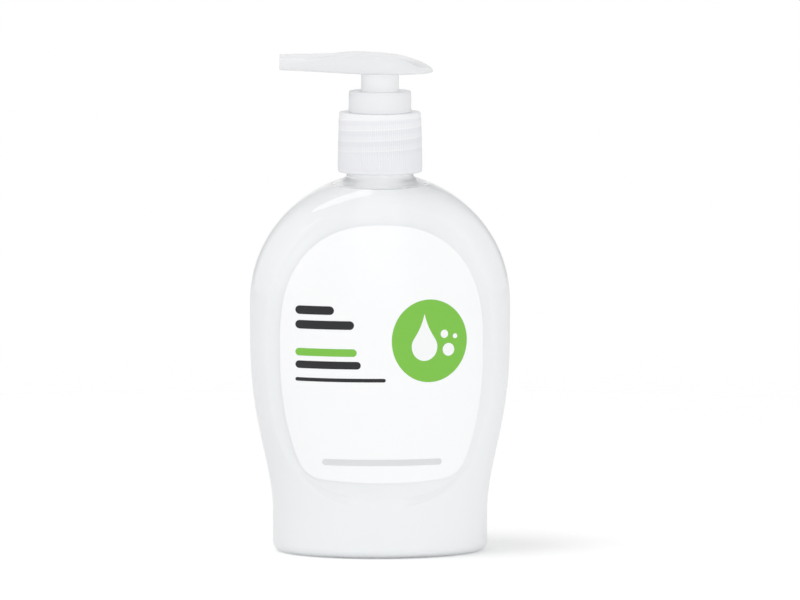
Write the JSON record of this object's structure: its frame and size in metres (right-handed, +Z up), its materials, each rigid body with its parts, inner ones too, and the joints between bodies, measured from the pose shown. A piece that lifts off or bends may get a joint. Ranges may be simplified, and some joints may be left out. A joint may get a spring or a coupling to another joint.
{
  "type": "liquid soap bottle",
  "caption": "Clear oval hand soap bottle with an arched front label, a screw collar and a lock-down lotion pump with a saddle-shaped head.",
  "frame": {"origin": "on the surface that the bottle stands on, below the neck's axis, at the middle of the foot", "axes": "+Z up along the neck's axis, the front label faces -Y and the spout points to -X"},
  "size_m": [0.0788, 0.0446, 0.1515],
  "materials": {
    "clear_pet": "clear, glossy blow-moulded plastic",
    "soap": "milky, faintly pearly liquid",
    "label_film": "smooth white label film",
    "green_ink": "printed ink",
    "white_ink": "bare white film inside the round field",
    "dark_ink": "printed ink",
    "grey_ink": "printed ink",
    "natural_pp": "translucent uncoloured polypropylene, semi-gloss",
    "pump_pe": "uncoloured polyethylene",
    "gasket_foam": "soft white sealing washer",
    "spring_steel": "bright drawn stainless wire",
    "ball_glass": "polished glass ball"
  },
  "bodies": {
    "bottle": {"bottle": "clear_pet", "liquid_soap": "soap", "front_label": "label_film", "label_disc": "green_ink", "label_emblem": "white_ink", "label_dark_bars": "dark_ink", "label_green_bar": "green_ink", "label_grey_bar": "grey_ink"},
    "pump": {"pump_housing": "natural_pp", "locking_nut": "natural_pp", "neck_gasket": "gasket_foam", "dip_tube": "pump_pe", "inlet_ball": "ball_glass", "spring_seat": "pump_pe", "return_spring": "spring_steel"},
    "collar": {"collar": "natural_pp"},
    "piston": {"piston_seal": "pump_pe"},
    "head": {"stem": "natural_pp", "outlet_ball": "ball_glass", "pump_head": "natural_pp"}
  },
  "joints": [
    {"name": "pump_lift", "type": "slide", "parent": "bottle", "child": "pump", "axis": [0, 0, 1], "range_m": [0, 0.14]},
    {"name": "collar_turn", "type": "hinge", "parent": "pump", "child": "collar", "pos_m": [0, 0, 0.12], "axis": [0, 0, 1], "continuous": true},
    {"name": "pump_stroke", "type": "slide", "parent": "pump", "child": "piston", "axis": [0, 0, 1], "range_m": [0, 0.014], "deforming": ["return_spring"]},
    {"name": "head_turn", "type": "hinge", "parent": "piston", "child": "head", "pos_m": [0, 0, 0.14], "axis": [0, 0, 1], "continuous": true}
  ]
}
